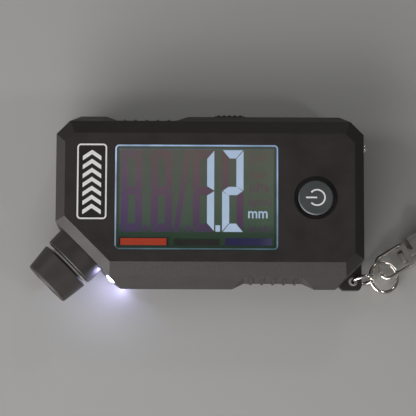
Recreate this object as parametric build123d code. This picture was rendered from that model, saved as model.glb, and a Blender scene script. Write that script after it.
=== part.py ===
from build123d import *

# Pocket tyre gauge: a digital display case with a sliding tread depth probe, a tyre valve chuck,
# a lamp beside the chuck, and a lug that carries two jump rings and a swivel clasp.
#
# Millimetres. The case lies on its back: Z = 0 is its rear face and +Z comes out of the display.
# +X points to the end where the depth probe comes out, +Y to the side with the thumb slider.
# The origin is the centre of the rear face.

import os
from math import cos, radians, sin, sqrt

ROOT2 = sqrt(2)
MIN_Z = (Align.CENTER, Align.CENTER, Align.MIN)

# ---- driving dimensions: case -----------------------------------------------------------------
CASE_LENGTH = 83.2
CASE_WIDTH = 47.6  # at the parting line, where the case is widest
CASE_HEIGHT = 20.0
SHOULDER_INSET = 2.7  # each side, from the parting line to where the long walls meet the bevels
PANEL_END_INSET = 2.5  # each end, from the parting line to the flat front panel or rear face
PANEL_SIDE_INSET = 6.3
BEVEL_HEIGHT = 2.0
CORNER_CUT = 6.3  # legs of the 45 degree corner cuts at the parting line
LUG_CUT = 7.5
VALVE_CUT = 17.4
PANEL_CORNER_CUT = 2.5
PANEL_VALVE_CUT = 12.3
WALL = 1.8
SEAM = 0.15  # V groove along the parting line

GRIP_CENTRE = 17.25  # the two finger grips are point symmetric about the case centre
GRIP_MOUTH = 22.4
GRIP_FLOOR = 16.0
GRIP_DEPTH = 2.4
GRIP_RIBS = 5
GRIP_RIB_PITCH = 3.0
GRIP_RIB_WIDTH = 0.7
GRIP_RIB_HEIGHT = 0.55

# ---- driving dimensions: display, button, badge -----------------------------------------------
LENS_WIDTH = 44.0
LENS_HEIGHT = 28.6
LENS_THICKNESS = 1.25
LENS_CENTRE_X = -3.6
LENS_BELOW_PANEL = 0.05
LENS_CORNER = 1.1
LENS_NOTCH = 1.3  # chamfered lower left corner
LENS_LEDGE = 0.8
LENS_BEVEL = 0.35
FIT = 0.1  # gap round pieces that are set into a pocket

BUTTON_FROM_END = 13.05
BUTTON_RADIUS = 4.75
BUTTON_WELL_MARGIN = 1.15  # from the cap to the edge of the well round it
BUTTON_WELL_DEPTH = 0.9
BUTTON_CLEARANCE = 0.2
BUTTON_PROUD = 0.35
BUTTON_TRAVEL = 0.5
BUTTON_FLANGE = 0.85  # how far the flange that keeps the cap in stands out

BADGE_WIDTH = 8.2
BADGE_HEIGHT = 20.9
BADGE_CORNER = 1.2
BADGE_THICKNESS = 0.35
BADGE_FROM_END = 9.8
BADGE_CENTRE_Y = 4.2

# ---- driving dimensions: valve chuck and lamp -------------------------------------------------
CHUCK_ALONG_FACE = 9.5  # from the upper end of the diagonal face to the chuck axis
COLLAR_RADIUS = 7.8
COLLAR_END_RADIUS = 7.6
COLLAR_LENGTH = 5.0
CHUCK_RADIUS = 7.5
CHUCK_NOSE_RADIUS = 6.6
CHUCK_LENGTH = 7.4
CHUCK_EDGE = 0.7
GROOVE = 1.1  # between collar and chuck, with the bright ring in it
RING_THICKNESS = 0.55
RING_BELOW_CHUCK = 0.35  # how far the bright ring stands back from the chuck's surface
SPIGOT_RADIUS = 4.6
SPIGOT_END = 7.2
RUNNING = 0.05  # radial clearance of a running fit
VALVE_BORE_RADIUS = 4.1  # takes a tyre valve's 7.7 mm thread
VALVE_BORE_LEAD = 0.3
SEAL_LIP = 0.4  # how far the seal reaches past the bore
SEAL_THICKNESS = 1.8
SEAL_HOLE = 2.4
CHUCK_WEB = 0.6
AIR_HOLE = 0.9
LAMP_ALONG_FACE = 20.8
LAMP_RADIUS = 1.5
LAMP_PROUD = 0.45

# ---- driving dimensions: depth probe and slider -----------------------------------------------
PROBE_RADIUS = 1.25
PROBE_Y = 15.1
PROBE_EXTENSION = 1.2  # tip beyond the end face as drawn
PROBE_RANGE = 15.8  # greatest depth that the gauge reads
CARRIAGE_LENGTH = 13.0
CARRIAGE_WIDTH = 5.9
CARRIAGE_HEIGHT = 6.0
PAD_LENGTH = 10.2
PAD_HEIGHT = 4.4
PAD_CENTRE_X = 5.3
PAD_PROUD = 0.3
PAD_RIBS = 5
PAD_RIB_PITCH = 1.47
PAD_RIB_HEIGHT = 0.25
PAD_NECK_LENGTH = 6.0
PAD_NECK_HEIGHT = 2.2
TRACK_DEPTH = 1.2
SLIDE_GAP = 0.15
PAD_LIFT = 0.1  # from the track's floor to the pad
READER_THICKNESS = 0.5
READER_GAP = 0.2  # from the reader to the scale strip under the board
BUSH_WALL = 0.95
BUSH_LENGTH = 5.2

# ---- driving dimensions: power and electronics ------------------------------------------------
CELL_RADIUS = 5.25
CELL_LENGTH = 44.5
CELL_PITCH = 11.2
CELL_SPRING_LENGTH = 3.0
CONTACT_THICKNESS = 0.4
DOOR_THICKNESS = 1.6
DOOR_TRAVEL = 5.0
DOOR_TONGUE = 0.8
BAY_WALL = 0.9
BOARD_THICKNESS = 1.2
BOARD_BELOW_PANEL = 6.0  # from the front panel to the underside of the circuit board
SCREW_RADIUS = 0.95
SCREW_HEAD_RADIUS = 1.9
SCREW_HEAD_TOP = 0.8  # depth of a sunk screw head below the rear face
SCREW_BELOW_PANEL = 5.2  # from the front panel to the screw's tip
BOSS_BELOW_PANEL = 3.2
BOSS_RADIUS = 2.7

# ---- driving dimensions: lug, rings and clasp -------------------------------------------------
LUG_Z = 2.9
LUG_THICKNESS = 2.6
LUG_HOLE_RADIUS = 1.25
LUG_HOLE_FROM_END = 2.3
LUG_HOLE_FROM_SIDE = 2.85
LUG_EDGE = 2.35  # from the hole's centre to the free edges
LUG_CORNER = 1.3
WIRE_RADIUS = 0.55
SMALL_RING_RADIUS = 3.14  # to the middle of the wire
LARGE_RING_RADIUS = 4.12
SMALL_RING_HEADING = 10.3  # degrees from +X, in plan
SMALL_RING_LEAN = 12.0
RING_SPACING = 5.65
LARGE_RING_TILT = 23.0
LARGE_RING_DROP = 0.1  # how far its held side is below the small ring's centre
CLASP_HEADING = 30.0
CLASP_Z = 3.25
CLASP_FROM_LARGE_RING = (5.4, 5.75)  # from the large ring's centre to the collar plate, in plan
BAIL_HALF_WIDTH = 3.2
BAIL_LENGTH = 7.8
BAIL_BEND = 15.0
BAIL_CORNER = 2.1
BAIL_PLATE = 1.6
BAIL_PLATE_WIDTH = 7.6
BAIL_PLATE_HEIGHT = 5.0
BAIL_PLATE_CORNER = 1.6
STUD_RADIUS = 1.3
STUD_HEAD_RADIUS = 2.1
HOOK_START = 2.9
HOOK_BARREL_LENGTH = 4.7
HOOK_BARREL_WIDTH = 8.2
HOOK_BARREL_HEIGHT = 6.4
HOOK_WIDTH = 13.0
HOOK_END = 28.0
HOOK_THICKNESS = 4.2
HOOK_BAR = 2.6
GATE_START = 11.0
GATE_TIP = 22.7
GATE_THICKNESS = 2.6
GATE_PIN_RADIUS = 0.6

# ---- values worked out from the driving dimensions --------------------------------------------
END_X = CASE_LENGTH / 2
SIDE_Y = CASE_WIDTH / 2
MID_Z = CASE_HEIGHT / 2
SHOULDER_Y = SIDE_Y - SHOULDER_INSET
PANEL_LENGTH = CASE_LENGTH - 2 * PANEL_END_INSET
PANEL_WIDTH = CASE_WIDTH - 2 * PANEL_SIDE_INSET
CORNER_REACH = END_X + SIDE_Y - CORNER_CUT  # x + y along each 45 degree cut
LUG_REACH = END_X + SIDE_Y - LUG_CUT
VALVE_REACH = END_X + SIDE_Y - VALVE_CUT
PANEL_REACH = (PANEL_LENGTH + PANEL_WIDTH) / 2 - PANEL_CORNER_CUT
PANEL_VALVE_REACH = (PANEL_LENGTH + PANEL_WIDTH) / 2 - PANEL_VALVE_CUT
CEILING_Z = CASE_HEIGHT - WALL
LUG_HOLE_X = END_X - LUG_HOLE_FROM_END
LUG_HOLE_Y = -SIDE_Y + LUG_HOLE_FROM_SIDE

FACE_X = -END_X + CHUCK_ALONG_FACE / ROOT2
FACE_Y = -(VALVE_REACH - END_X) - CHUCK_ALONG_FACE / ROOT2
LAMP_X = -END_X + LAMP_ALONG_FACE / ROOT2
LAMP_Y = -(VALVE_REACH - END_X) - LAMP_ALONG_FACE / ROOT2
DIAGONAL = (1, -1, 0)
OUTWARD = (-1, -1, 0)
chuck_frame = Plane(origin=(FACE_X, FACE_Y, MID_Z), x_dir=DIAGONAL, z_dir=OUTWARD)
lamp_frame = Plane(origin=(LAMP_X, LAMP_Y, MID_Z), x_dir=DIAGONAL, z_dir=OUTWARD)
SEAL_RADIUS = VALVE_BORE_RADIUS + SEAL_LIP
CHUCK_START = COLLAR_LENGTH + GROOVE
CHUCK_END = CHUCK_START + CHUCK_LENGTH

BUTTON_X = END_X - BUTTON_FROM_END
BUTTON_WELL_RADIUS = BUTTON_RADIUS + BUTTON_WELL_MARGIN
BUTTON_HOLE_RADIUS = BUTTON_RADIUS + BUTTON_CLEARANCE
BUTTON_FLANGE_RADIUS = BUTTON_RADIUS + BUTTON_FLANGE
BUTTON_TOP = CASE_HEIGHT + BUTTON_PROUD
BADGE_X = -END_X + BADGE_FROM_END

BOARD_Z = CASE_HEIGHT - BOARD_BELOW_PANEL
BOARD_TOP = BOARD_Z + BOARD_THICKNESS
SWITCH_TOP = BOARD_TOP + 1.2
FLANGE_TOP = CEILING_Z - 0.2
FLANGE_BOTTOM = FLANGE_TOP - 0.8

BUSH_RADIUS = PROBE_RADIUS + BUSH_WALL
PAD_LOW_X = PAD_CENTRE_X - PAD_LENGTH / 2
PAD_HIGH_X = PAD_CENTRE_X + PAD_LENGTH / 2
PAD_LOW_Z = MID_Z - SLIDE_GAP - PAD_HEIGHT  # the pad is below the parting line, in the rear shell
TRAVEL_OUT = PROBE_RANGE - PROBE_EXTENSION
CARRIAGE_LOW_X = PAD_CENTRE_X - CARRIAGE_LENGTH / 2
CARRIAGE_HIGH_X = PAD_CENTRE_X + CARRIAGE_LENGTH / 2
CARRIAGE_LOW_Z = MID_Z - 3.2
CARRIAGE_HIGH_Z = CARRIAGE_LOW_Z + CARRIAGE_HEIGHT
CARRIAGE_LOW_Y = 12.9
CARRIAGE_HIGH_Y = CARRIAGE_LOW_Y + CARRIAGE_WIDTH
TRACK_FLOOR_Y = SIDE_Y - TRACK_DEPTH

BAY_HIGH_X = END_X - 5.6
BAY_LOW_X = BAY_HIGH_X - CELL_LENGTH - CELL_SPRING_LENGTH - 2 * CONTACT_THICKNESS
BAY_HALF_Y = CELL_PITCH / 2 + CELL_RADIUS + 0.35
CELL_Z = DOOR_THICKNESS + 0.35 + CELL_RADIUS
BAY_CEILING = CELL_Z + CELL_RADIUS + 0.25
BAY_TOP = BAY_CEILING + BAY_WALL

SCREWS = [(-END_X + 7.5, SIDE_Y - 9.4), (-12.0, -SIDE_Y + 8.3), (END_X - 8.5, -SIDE_Y + 8.3)]
BOSS_TOP = CASE_HEIGHT - BOSS_BELOW_PANEL
SCREW_TIP = CASE_HEIGHT - SCREW_BELOW_PANEL

heading = radians(SMALL_RING_HEADING)
SMALL_RING_CENTRE = (
    LUG_HOLE_X + SMALL_RING_RADIUS * cos(heading),
    LUG_HOLE_Y + SMALL_RING_RADIUS * sin(heading),
    LUG_Z + LUG_THICKNESS / 2,
)
HELD_Z = SMALL_RING_CENTRE[2] - LARGE_RING_DROP
LARGE_RING_CENTRE = (
    SMALL_RING_CENTRE[0] + RING_SPACING * cos(heading),
    SMALL_RING_CENTRE[1] + RING_SPACING * sin(heading),
    HELD_Z - LARGE_RING_RADIUS * sin(radians(LARGE_RING_TILT)),
)
clasp_frame = Plane(
    origin=(
        LARGE_RING_CENTRE[0] + CLASP_FROM_LARGE_RING[0],
        LARGE_RING_CENTRE[1] + CLASP_FROM_LARGE_RING[1],
        CLASP_Z,
    ),
    x_dir=(-sin(radians(CLASP_HEADING)), cos(radians(CLASP_HEADING)), 0),
    z_dir=(cos(radians(CLASP_HEADING)), sin(radians(CLASP_HEADING)), 0),
)


# ---- helpers ----------------------------------------------------------------------------------
def disc(radius, low, high):
    """Cylinder about the local Z axis between two heights."""
    return Pos(0, 0, low) * Cylinder(radius, high - low, align=MIN_Z)


def block(x, y, z):
    """Box between a low and a high value on each axis."""
    size = (x[1] - x[0], y[1] - y[0], z[1] - z[0])
    return Pos(x[0], y[0], z[0]) * Box(*size, align=(Align.MIN, Align.MIN, Align.MIN))


def turned(points):
    """Solid of revolution about the local Z axis from (radius, height) points."""
    return revolve(Plane.XZ * make_face(Polyline(*points, close=True)), axis=Axis.Z)


def rod_x(radius, low, high, y, z):
    """Cylinder along X."""
    return Pos(low, y, z) * Rot(0, 90, 0) * disc(radius, 0, high - low)


def outline(z, half_x, half_y, corner_reach, lug_reach, valve_reach):
    """The case's outline at one height: a rectangle with four corners cut at 45 degrees."""
    corner = half_x + half_y - corner_reach
    lug = half_x + half_y - lug_reach
    valve = half_x + half_y - valve_reach
    points = [
        (-half_x, half_y - corner),
        (-half_x + corner, half_y),
        (half_x - corner, half_y),
        (half_x, half_y - corner),
        (half_x, -half_y + lug),
        (half_x - lug, -half_y),
        (-half_x + valve, -half_y),
        (-half_x, -half_y + valve),
    ]
    return Pos(0, 0, z) * make_face(Polyline(*points, close=True))


def half_case(mid_z, up):
    """Solid outer form of one half shell, from the parting line to its flat face."""
    seam = SEAM * ROOT2
    height = CASE_HEIGHT / 2
    return loft(
        [
            outline(
                mid_z, END_X - SEAM, SIDE_Y - SEAM, CORNER_REACH - seam, LUG_REACH - seam, VALVE_REACH - seam
            ),
            outline(mid_z + up * SEAM, END_X, SIDE_Y, CORNER_REACH, LUG_REACH, VALVE_REACH),
            outline(
                mid_z + up * (height - BEVEL_HEIGHT), END_X, SHOULDER_Y, CORNER_REACH, LUG_REACH, VALVE_REACH
            ),
            outline(
                mid_z + up * height,
                PANEL_LENGTH / 2,
                PANEL_WIDTH / 2,
                PANEL_REACH,
                PANEL_REACH,
                PANEL_VALVE_REACH,
            ),
        ],
        ruled=True,
    )


def half_cavity(mid_z, up):
    """Hollow of one half shell, a wall's thickness inside its outer form."""
    inset = WALL * ROOT2
    low = outline(
        mid_z, END_X - WALL, SIDE_Y - WALL, CORNER_REACH - inset, LUG_REACH - inset, VALVE_REACH - inset
    )
    far_x = PANEL_LENGTH / 2 - 0.6
    far_y = PANEL_WIDTH / 2 + 0.4
    far = outline(
        mid_z + up * (CASE_HEIGHT / 2 - WALL), far_x, far_y, far_x + far_y - 1.6, far_x + far_y - 2.6,
        VALVE_REACH - inset,
    )
    return loft([low, far], ruled=True)


def grip_notch(depth, low_z, high_z, spread=0.0):
    """Prism of one finger grip on the +Y side, about its own centre."""
    slope = (GRIP_MOUTH - GRIP_FLOOR) / 2 / GRIP_DEPTH
    floor_y = SIDE_Y - depth
    top_y = SIDE_Y + 1.5
    floor = GRIP_FLOOR / 2 + spread
    mouth = floor + slope * (top_y - floor_y)
    points = [(-floor, floor_y), (floor, floor_y), (mouth, top_y), (-mouth, top_y)]
    return Pos(0, 0, low_z) * extrude(make_face(Polyline(*points, close=True)), high_z - low_z)


def both_grips(shape):
    """One grip feature at its place, and the same turned half round the case."""
    upper = Pos(-GRIP_CENTRE, 0, 0) * shape
    return upper + Rot(0, 0, 180) * upper


def rounded_plate(width, height, corner, low, high):
    """Plate with rounded corners about the local Z axis."""
    return Pos(0, 0, low) * extrude(RectangleRounded(width, height, corner), high - low)


def lens_outline(grow=0.0):
    """Display lens outline: rounded corners, one of them chamfered."""
    half_w = LENS_WIDTH / 2 + grow
    half_h = LENS_HEIGHT / 2 + grow
    face = make_face(
        Polyline(
            (-half_w, half_h),
            (half_w, half_h),
            (half_w, -half_h),
            (-half_w + LENS_NOTCH, -half_h),
            (-half_w, -half_h + LENS_NOTCH),
            close=True,
        )
    )
    square = [v for v in face.vertices() if abs(v.X * v.Y) > half_w * half_h - 1e-6]
    return fillet(square, LENS_CORNER)


def board_outline(half_x, half_y):
    """Circuit board blank, cut back at the valve corner and round the screw bosses."""
    valve = half_x + half_y - (VALVE_REACH - WALL * ROOT2 - 12.0)
    face = make_face(
        Polyline(
            (-half_x, half_y),
            (half_x, half_y),
            (half_x, -half_y),
            (-half_x + valve, -half_y),
            (-half_x, -half_y + valve),
            close=True,
        )
    )
    room = BOSS_RADIUS + 0.4
    for x, y in SCREWS:
        reach = 5.0 if y > 0 else -5.0
        face -= Pos(x, y) * Circle(room) + Pos(x, y + reach) * Rectangle(2 * room, 10.0)
    return face


# ---- case -------------------------------------------------------------------------------------
def saddle(low_z, high_z):
    """Block that holds the probe's bush, half in each shell."""
    x = (END_X - WALL - BUSH_LENGTH, END_X - WALL + 0.4)
    return block(x, (CARRIAGE_LOW_Y - 0.5, PROBE_Y + 3.0), (low_z, high_z))


def shell(mid_z, up):
    """One half shell with its grips, ribs, slider track and probe hole, without its own fittings."""
    outer = half_case(mid_z, up)
    low_z, high_z = -1.0, CASE_HEIGHT + 1.0
    solid = outer - both_grips(grip_notch(GRIP_DEPTH, low_z, high_z))
    floor_y = SIDE_Y - GRIP_DEPTH
    for index in range(GRIP_RIBS):
        x = (index - (GRIP_RIBS - 1) / 2) * GRIP_RIB_PITCH
        half = GRIP_RIB_WIDTH / 2
        rib = block((x - half, x + half), (floor_y - 0.2, floor_y + GRIP_RIB_HEIGHT), (low_z, high_z))
        solid += both_grips(rib) & outer
    cavity = half_cavity(mid_z, up)
    cavity -= both_grips(grip_notch(GRIP_DEPTH + WALL, low_z, high_z, spread=1.0))
    cavity -= block(
        (PAD_LOW_X - 4, PAD_HIGH_X + TRAVEL_OUT + 3),
        (TRACK_FLOOR_Y - WALL, SIDE_Y),
        (PAD_LOW_Z - WALL, MID_Z + PAD_HEIGHT),
    )
    solid -= cavity
    track_x = (PAD_LOW_X - PROBE_EXTENSION - 0.2, PAD_HIGH_X + TRAVEL_OUT + 0.2)
    solid -= block(track_x, (TRACK_FLOOR_Y, SIDE_Y + 1), (PAD_LOW_Z - SLIDE_GAP, MID_Z))
    slot_x = (
        PAD_CENTRE_X - PAD_NECK_LENGTH / 2 - PROBE_EXTENSION - 0.2,
        PAD_CENTRE_X + PAD_NECK_LENGTH / 2 + TRAVEL_OUT + 0.2,
    )
    half_slot = PAD_NECK_HEIGHT / 2 + SLIDE_GAP
    slot_y = (CARRIAGE_HIGH_Y, TRACK_FLOOR_Y + PAD_LIFT + 0.1 + SLIDE_GAP)
    solid -= block(slot_x, slot_y, (MID_Z - half_slot, MID_Z + half_slot))
    solid -= chuck_frame * disc(SPIGOT_RADIUS + 2.0 + FIT, -WALL * 2, 1.0)
    solid -= lamp_frame * disc(LAMP_RADIUS + RUNNING, -WALL * 2, 1.0)
    return solid


def probe_clearance():
    """Room for the bush, and for the probe behind and in front of it."""
    bush = rod_x(BUSH_RADIUS, END_X - WALL - BUSH_LENGTH, END_X - WALL, PROBE_Y, MID_Z)
    return bush + rod_x(PROBE_RADIUS + 0.3, CARRIAGE_HIGH_X, END_X + 2, PROBE_Y, MID_Z)


def front_cover():
    solid = shell(MID_Z, 1)
    solid += saddle(MID_Z, MID_Z + 3.1)
    for x, y in SCREWS:
        rib_y = (y - 0.6, SIDE_Y - WALL) if y > 0 else (-SIDE_Y + WALL, y + 0.6)
        rib = block((x - 0.6, x + 0.6), rib_y, (MID_Z + SEAM, BOSS_TOP)) & half_case(MID_Z, 1)
        solid += Pos(x, y) * disc(BOSS_RADIUS, MID_Z, BOSS_TOP) + rib
    for x, y in SCREWS:
        solid -= Pos(x, y) * disc(SCREW_RADIUS + RUNNING, MID_Z - 1, BOSS_TOP - 0.8)
    pocket_z = CASE_HEIGHT - LENS_BELOW_PANEL - LENS_THICKNESS
    pocket = Pos(LENS_CENTRE_X, 0, pocket_z) * extrude(lens_outline(FIT), 3.0)
    window = rounded_plate(
        LENS_WIDTH - 2 * LENS_LEDGE, LENS_HEIGHT - 2 * LENS_LEDGE, 0.8, CEILING_Z - 1, CASE_HEIGHT
    )
    solid -= pocket + Pos(LENS_CENTRE_X, 0, 0) * window
    solid -= Pos(BUTTON_X, 0) * disc(BUTTON_WELL_RADIUS, CASE_HEIGHT - BUTTON_WELL_DEPTH, CASE_HEIGHT + 1)
    solid -= Pos(BUTTON_X, 0) * disc(BUTTON_HOLE_RADIUS, CEILING_Z - 1, CASE_HEIGHT)
    badge_low = CASE_HEIGHT - BADGE_THICKNESS
    solid -= Pos(BADGE_X, BADGE_CENTRE_Y) * rounded_plate(
        BADGE_WIDTH + 2 * RUNNING, BADGE_HEIGHT + 2 * RUNNING, BADGE_CORNER, badge_low, CASE_HEIGHT + 1
    )
    return solid - probe_clearance()


def lug():
    """Plate with a ring hole that fills the cut corner of the rear shell."""
    edge_x = LUG_HOLE_X + LUG_EDGE
    edge_y = LUG_HOLE_Y - LUG_EDGE
    inner = 9.0
    face = make_face(
        Polyline((edge_x - inner, edge_y + 3.2), (edge_x - inner, edge_y + inner), (edge_x, edge_y + inner),
                 (edge_x, edge_y), (edge_x - 5.2, edge_y), close=True)
    )
    corner = face.vertices().sort_by(lambda v: v.X - v.Y)[-1]
    return Pos(0, 0, LUG_Z) * extrude(fillet(corner, LUG_CORNER), LUG_THICKNESS)


def battery_bay():
    """Tub that holds the two cells, open towards the door."""
    x = (BAY_LOW_X - BAY_WALL, BAY_HIGH_X + BAY_WALL)
    y = (-BAY_HALF_Y - BAY_WALL, BAY_HALF_Y + BAY_WALL)
    return block(x, y, (DOOR_THICKNESS, BAY_TOP))


def door_channel(grow, end):
    """Space that the battery door and its side tongues slide in."""
    low_x = BAY_LOW_X - 0.6 - grow
    half = BAY_HALF_Y + 0.3
    plate = block((low_x, end), (-half - grow, half + grow), (-1, DOOR_THICKNESS + grow * 0.5))
    tongue_y = half + DOOR_TONGUE + grow
    tongues = block((low_x, end), (-tongue_y, tongue_y), (0.7 - grow, 1.3 + grow))
    return plate + tongues


def rear_cover():
    solid = shell(MID_Z, -1) + lug() + saddle(MID_Z - 3.1, MID_Z) + battery_bay()
    for x, y in SCREWS:
        solid += Pos(x, y) * disc(BOSS_RADIUS, 0.5, MID_Z)
    for offset in (-1.6, 1.6):
        centre_y = (CARRIAGE_LOW_Y + CARRIAGE_HIGH_Y) / 2 + offset
        rail_y = (centre_y - 0.5, centre_y + 0.5)
        rail_x = (CARRIAGE_LOW_X - 2, CARRIAGE_HIGH_X + TRAVEL_OUT + 1)
        solid += block(rail_x, rail_y, (WALL - 0.1, CARRIAGE_LOW_Z - 0.1))
    for x, y in SCREWS:
        solid -= Pos(x, y) * disc(SCREW_HEAD_RADIUS + 0.15, -1, 2.6)
        solid -= Pos(x, y) * disc(SCREW_RADIUS + 0.15, -1, MID_Z + 1)
    solid -= block((BAY_LOW_X, BAY_HIGH_X), (-BAY_HALF_Y, BAY_HALF_Y), (-1, BAY_CEILING))
    solid -= door_channel(FIT, END_X + 1)
    solid -= Pos(LUG_HOLE_X, LUG_HOLE_Y) * disc(LUG_HOLE_RADIUS, -1, MID_Z - 1)
    return solid - probe_clearance()


def battery_door():
    outer = half_case(MID_Z, -1)
    solid = door_channel(0.0, END_X) & outer
    for index in range(4):
        x = BAY_LOW_X + 6.0 + index * 1.6
        solid -= block((x, x + 0.7), (-5.0, 5.0), (-1, 0.35))
    return solid


def badge_plate():
    low = CASE_HEIGHT - BADGE_THICKNESS
    plate = rounded_plate(BADGE_WIDTH, BADGE_HEIGHT, BADGE_CORNER, low, CASE_HEIGHT - 0.02)
    return Pos(BADGE_X, BADGE_CENTRE_Y) * plate


def case_screws():
    screws = []
    for x, y in SCREWS:
        shank = disc(SCREW_RADIUS, 2.5, SCREW_TIP)
        head = disc(SCREW_HEAD_RADIUS, SCREW_HEAD_TOP, 2.6)
        slot = rounded_plate(2.2, 0.5, 0.2, 0, 1.6) + rounded_plate(0.5, 2.2, 0.2, 0, 1.6)
        screws.append(Pos(x, y) * (shank + head - slot))
    return Compound(children=screws)


# ---- display and electronics ------------------------------------------------------------------
def display_lens():
    top = CASE_HEIGHT - LENS_BELOW_PANEL
    solid = Pos(LENS_CENTRE_X, 0, top - LENS_THICKNESS) * extrude(lens_outline(), LENS_THICKNESS)
    return chamfer(solid.faces().sort_by(Axis.Z)[-1].edges(), LENS_BEVEL)


def lcd_glass():
    low = CEILING_Z - 1.15
    return Pos(LENS_CENTRE_X, 0, low) * Box(LENS_WIDTH + 1.4, LENS_HEIGHT + 1.4, 1.1, align=MIN_Z)


def lcd_backlight():
    y = (-LENS_HEIGHT / 2 - 0.7, LENS_HEIGHT / 2 - 1.6)
    x = (LENS_CENTRE_X - LENS_WIDTH / 2 - 0.7, LENS_CENTRE_X + LENS_WIDTH / 2 + 0.7)
    solid = block(x, y, (BOARD_TOP, CEILING_Z - 1.2))
    for boss_x, boss_y in SCREWS:
        solid -= Pos(boss_x, boss_y) * disc(BOSS_RADIUS + 0.3, BOARD_TOP - 1, CEILING_Z)
    return solid


def lcd_connector():
    y = (LENS_HEIGHT / 2 - 1.4, LENS_HEIGHT / 2 + 0.6)
    x = (LENS_CENTRE_X - LENS_WIDTH / 2 + 1, LENS_CENTRE_X + LENS_WIDTH / 2 - 1)
    return block(x, y, (BOARD_TOP, CEILING_Z - 1.15))


def circuit_board():
    face = board_outline(END_X - 5.5, SIDE_Y - 6.4)
    return Pos(0, 0, BOARD_Z) * extrude(face, BOARD_THICKNESS)


def controller_chip():
    return block((-26.5, -19.5), (9.0, 15.5), (BOARD_Z - 1.6, BOARD_Z))


def tact_switch():
    body = block((BUTTON_X - 2.5, BUTTON_X + 2.5), (-2.5, 2.5), (BOARD_TOP, SWITCH_TOP))
    return body - Pos(BUTTON_X, 0) * disc(1.25, BOARD_TOP + 0.2, SWITCH_TOP + 1)


def switch_plunger():
    return Pos(BUTTON_X, 0) * disc(1.2, SWITCH_TOP - 0.45, SWITCH_TOP + 0.5)


def power_button():
    cap = disc(BUTTON_RADIUS, FLANGE_BOTTOM, BUTTON_TOP)
    cap = chamfer(cap.faces().sort_by(Axis.Z)[-1].edges(), 0.3)
    flange = disc(BUTTON_FLANGE_RADIUS, FLANGE_BOTTOM, FLANGE_TOP)
    stem = disc(2.0, SWITCH_TOP + 0.5, FLANGE_BOTTOM + 0.1)
    return Pos(BUTTON_X, 0) * (cap + flange + stem)


def pressure_sensor():
    body = Pos(0, 0, -17.5) * Box(7.0, 7.0, 6.0, align=MIN_Z)
    nozzle = disc(1.4, -11.6, -8.8)
    return chuck_frame * (body + nozzle)


def air_tube():
    return chuck_frame * (disc(2.1, -11.3, -5.6) - disc(1.4, -12, -5))


def lamp():
    dome = turned(
        [(0, -4.0), (LAMP_RADIUS, -4.0), (LAMP_RADIUS, -0.35), (LAMP_RADIUS * 0.9, 0.05),
         (LAMP_RADIUS * 0.62, LAMP_PROUD * 0.75), (0, LAMP_PROUD)]
    )
    return lamp_frame * (dome + disc(LAMP_RADIUS + 0.3, -4.0, -3.2))


# ---- valve chuck ------------------------------------------------------------------------------
def rim_edges(solid, radius):
    """Circular edges of one radius."""
    return [edge for edge in solid.edges().filter_by(GeomType.CIRCLE) if abs(edge.radius - radius) < 1e-6]


def chuck_base():
    body = turned(
        [
            (1.0, -5.6),
            (1.0, SPIGOT_END),
            (SPIGOT_RADIUS, SPIGOT_END),
            (SPIGOT_RADIUS, COLLAR_LENGTH),
            (COLLAR_END_RADIUS - 0.3, COLLAR_LENGTH),
            (COLLAR_END_RADIUS, COLLAR_LENGTH - 0.3),
            (COLLAR_RADIUS, 0.4),
            (COLLAR_RADIUS, 0.0),
            (SPIGOT_RADIUS + 2.0, 0.0),
            (SPIGOT_RADIUS + 2.0, -5.0),
            (1.4, -5.0),
            (1.4, -5.6),
        ]
    )
    barb = disc(1.38, -8.6, -5.5) - disc(0.8, -9, -5)
    return chuck_frame * (body + barb)


def chuck_nut():
    hexagon = RegularPolygon(7.9, 6) - Circle(SPIGOT_RADIUS + 2.0 + RUNNING)
    return chuck_frame * (Pos(0, 0, -WALL - 2.4) * extrude(hexagon, 2.3))


def chuck_ring():
    low = COLLAR_LENGTH + (GROOVE - RING_THICKNESS) / 2
    ring = disc(CHUCK_RADIUS - RING_BELOW_CHUCK, low, low + RING_THICKNESS)
    return chuck_frame * (ring - disc(SPIGOT_RADIUS + RUNNING, low - 1, low + 2))


def chuck_head():
    seal_low = SPIGOT_END + 0.1 + CHUCK_WEB
    body = turned(
        [
            (AIR_HOLE, seal_low - CHUCK_WEB),
            (AIR_HOLE, seal_low),
            (SEAL_RADIUS + FIT, seal_low),
            (SEAL_RADIUS + FIT, seal_low + SEAL_THICKNESS + FIT),
            (VALVE_BORE_RADIUS, seal_low + SEAL_THICKNESS + FIT),
            (VALVE_BORE_RADIUS, CHUCK_END - VALVE_BORE_LEAD),
            (VALVE_BORE_RADIUS + VALVE_BORE_LEAD, CHUCK_END),
            (CHUCK_NOSE_RADIUS, CHUCK_END),
            (CHUCK_RADIUS, CHUCK_START),
            (SPIGOT_RADIUS + RUNNING, CHUCK_START),
            (SPIGOT_RADIUS + RUNNING, seal_low - CHUCK_WEB),
        ]
    )
    body = fillet(rim_edges(body, CHUCK_NOSE_RADIUS), CHUCK_EDGE)
    return chuck_frame * fillet(rim_edges(body, CHUCK_RADIUS), CHUCK_EDGE / 2)


def valve_seal():
    low = SPIGOT_END + 0.1 + CHUCK_WEB
    return chuck_frame * (disc(SEAL_RADIUS, low, low + SEAL_THICKNESS) - disc(SEAL_HOLE, low - 1, low + 5))


def core_depressor():
    low = SPIGOT_END + 0.1 + CHUCK_WEB
    foot = disc(2.2, low + 0.02, low + 0.6) - disc(0.5, low - 1, low + 0.4)
    pin = disc(0.8, low + 0.5, low + SEAL_THICKNESS)
    return chuck_frame * (foot + pin)


# ---- depth probe ------------------------------------------------------------------------------
def depth_probe():
    low_x = CARRIAGE_HIGH_X - 4.0
    tip_x = END_X + PROBE_EXTENSION
    rod = rod_x(PROBE_RADIUS, low_x, tip_x, PROBE_Y, MID_Z)
    tip = rod.faces().sort_by(Axis.X)[-1].edges()
    return fillet(tip, PROBE_RADIUS * 0.5)


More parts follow.
